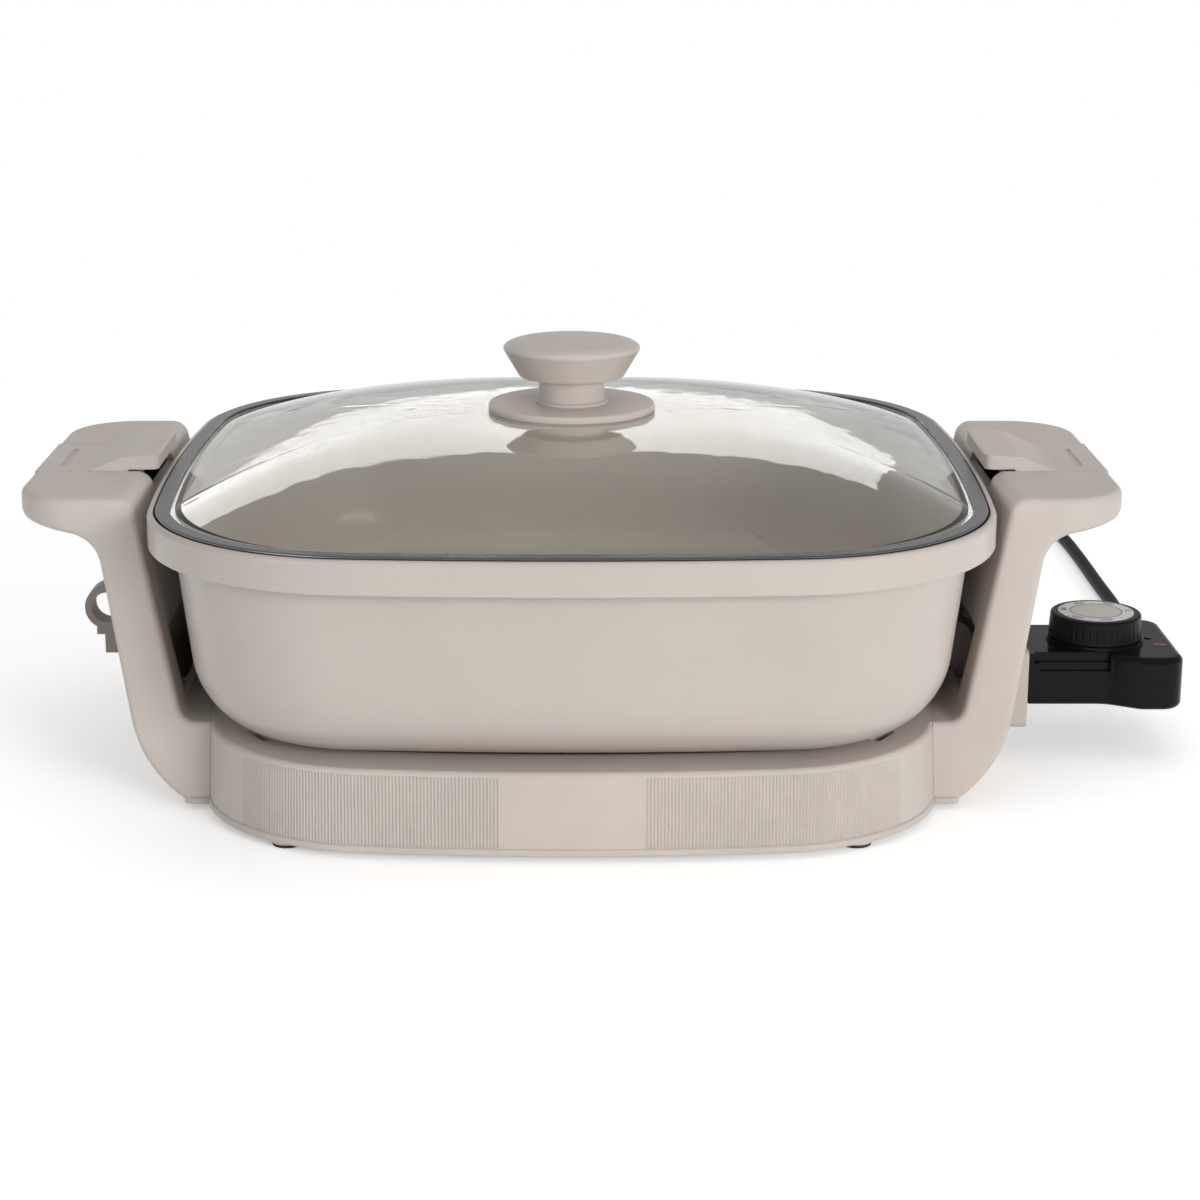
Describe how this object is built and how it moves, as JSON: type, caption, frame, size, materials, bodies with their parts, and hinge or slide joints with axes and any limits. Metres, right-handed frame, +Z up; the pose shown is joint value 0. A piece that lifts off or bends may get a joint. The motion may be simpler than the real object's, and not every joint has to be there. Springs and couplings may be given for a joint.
{
  "type": "electric skillet",
  "caption": "Electric skillet: square dish on a cradle base with two upswept handles, domed glass lid with a knob, sliding latches and a plug-in heat control with dial and lead.",
  "frame": {"origin": "middle of the footprint of everything but the lead, on the surface the skillet stands on", "axes": "+X to the right towards the heat control, +Y to the back, +Z up; the plain front panel faces -Y"},
  "size_m": [0.45, 0.5535, 0.1578],
  "materials": {
    "shell_plastic": "fine matte moulded plastic",
    "keeper_plastic": "plain moulded plastic",
    "clip_plastic": "matte moulded plastic, darker than the shell",
    "pad_rubber": "matte rubber",
    "dish_coating": "smooth satin ceramic coating on cast aluminium",
    "lid_glass": "clear tempered glass",
    "rim_steel": "polished band",
    "knob_plastic": "fine matte moulded plastic",
    "washer_silicone": "translucent silicone",
    "screw_steel": "bright zinc",
    "heater_aluminium": "as cast, satin",
    "element_steel": "heat-darkened steel",
    "shield_steel": "galvanised sheet",
    "block_ceramic": "unglazed insulator",
    "control_plastic": "glossy near-black",
    "dial_plastic": "semi-gloss near-black",
    "dial_print": "satin disc with printed marks",
    "lens_red": "translucent red",
    "contact_brass": "bright strip",
    "rod_steel": "plated rod",
    "thermostat_body": "dark moulded insulator",
    "lead_rubber": "matte black jacket"
  },
  "bodies": {
    "base_body": {"base_shell": "shell_plastic", "bottom_plate": "shell_plastic", "base_screws": "screw_steel", "feet": "shell_plastic", "foot_pads": "pad_rubber", "pan_rests": "pad_rubber", "arm_left": "shell_plastic", "arm_right": "shell_plastic", "arm_cover_left": "shell_plastic", "arm_cover_right": "shell_plastic", "arm_screws": "screw_steel", "cord_clip": "clip_plastic", "socket_housing": "shell_plastic", "heater_plate": "heater_aluminium", "heating_element": "element_steel", "heat_shield": "shield_steel", "heater_posts": "screw_steel", "heater_screws": "screw_steel", "terminal_block": "block_ceramic", "sensor_tube": "element_steel"},
    "pan_body": {"pan": "dish_coating"},
    "lid_body": {"lid_glass": "lid_glass", "lid_rim": "rim_steel", "lid_escutcheon": "knob_plastic", "lid_knob": "knob_plastic", "lid_washer": "washer_silicone", "lid_screw": "screw_steel"},
    "left_latch_body": {"latch_left": "shell_plastic", "latch_keeper_left": "keeper_plastic"},
    "right_latch_body": {"latch_right": "shell_plastic", "latch_keeper_right": "keeper_plastic"},
    "control_body": {"control_case": "control_plastic", "control_cover": "control_plastic", "indicator_lens": "lens_red", "contact_sockets": "contact_brass", "sensing_rod": "rod_steel", "thermostat": "thermostat_body", "strain_relief": "lead_rubber", "cord": "lead_rubber", "cord_coil": "lead_rubber", "cord_tail": "lead_rubber", "plug_body": "lead_rubber", "plug_blades": "contact_brass"},
    "dial_body": {"dial": "dial_plastic", "dial_face": "dial_print", "dial_shaft": "rod_steel"}
  },
  "joints": [
    {"name": "pan_lift", "type": "slide", "parent": "base_body", "child": "pan_body", "axis": [0, 0, 1], "range_m": [0, 0.12]},
    {"name": "lid_lift", "type": "slide", "parent": "pan_body", "child": "lid_body", "axis": [0, 0, 1], "range_m": [0, 0.12]},
    {"name": "left_latch_slide", "type": "slide", "parent": "base_body", "child": "left_latch_body", "axis": [1, 0, 0], "range_m": [0, 0.012]},
    {"name": "right_latch_slide", "type": "slide", "parent": "base_body", "child": "right_latch_body", "axis": [-1, 0, 0], "range_m": [0, 0.012]},
    {"name": "control_plug", "type": "slide", "parent": "base_body", "child": "control_body", "axis": [1, 0, 0], "range_m": [0, 0.085]},
    {"name": "dial_turn", "type": "hinge", "parent": "control_body", "child": "dial_body", "pos_m": [0.18605, 0, 0.045], "axis": [0, 0, 1], "range_deg": [-280, 0]}
  ]
}
